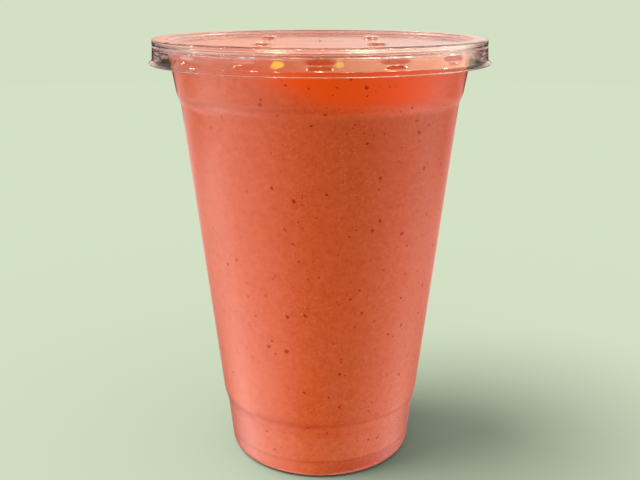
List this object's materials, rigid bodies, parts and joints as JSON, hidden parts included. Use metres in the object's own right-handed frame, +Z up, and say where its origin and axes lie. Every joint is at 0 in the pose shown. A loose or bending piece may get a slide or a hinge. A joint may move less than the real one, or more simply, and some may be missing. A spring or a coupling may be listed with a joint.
{
  "type": "strawberry smoothie",
  "caption": "Clear plastic cup with a flat push-on lid, filled to the rim with a coral strawberry smoothie, standing on its foot ring.",
  "frame": {"origin": "centre of the cup's foot ring, on the surface it stands on", "axes": "+Z up along the cup's axis, -Y towards the front that the picture shows, +X to the right of that view"},
  "size_m": [0.1022, 0.1022, 0.1326],
  "materials": {
    "cup_plastic": "clear glossy thin plastic",
    "lid_plastic": "clear glossy thin plastic, pressed",
    "smoothie": "smooth blended fruit with darker specks",
    "fruit": "moist yellow fruit flesh"
  },
  "bodies": {
    "root": {"cup": "cup_plastic", "lid": "lid_plastic", "smoothie": "smoothie", "fruit_bit_left": "fruit", "fruit_bit_right": "fruit"}
  },
  "joints": []
}
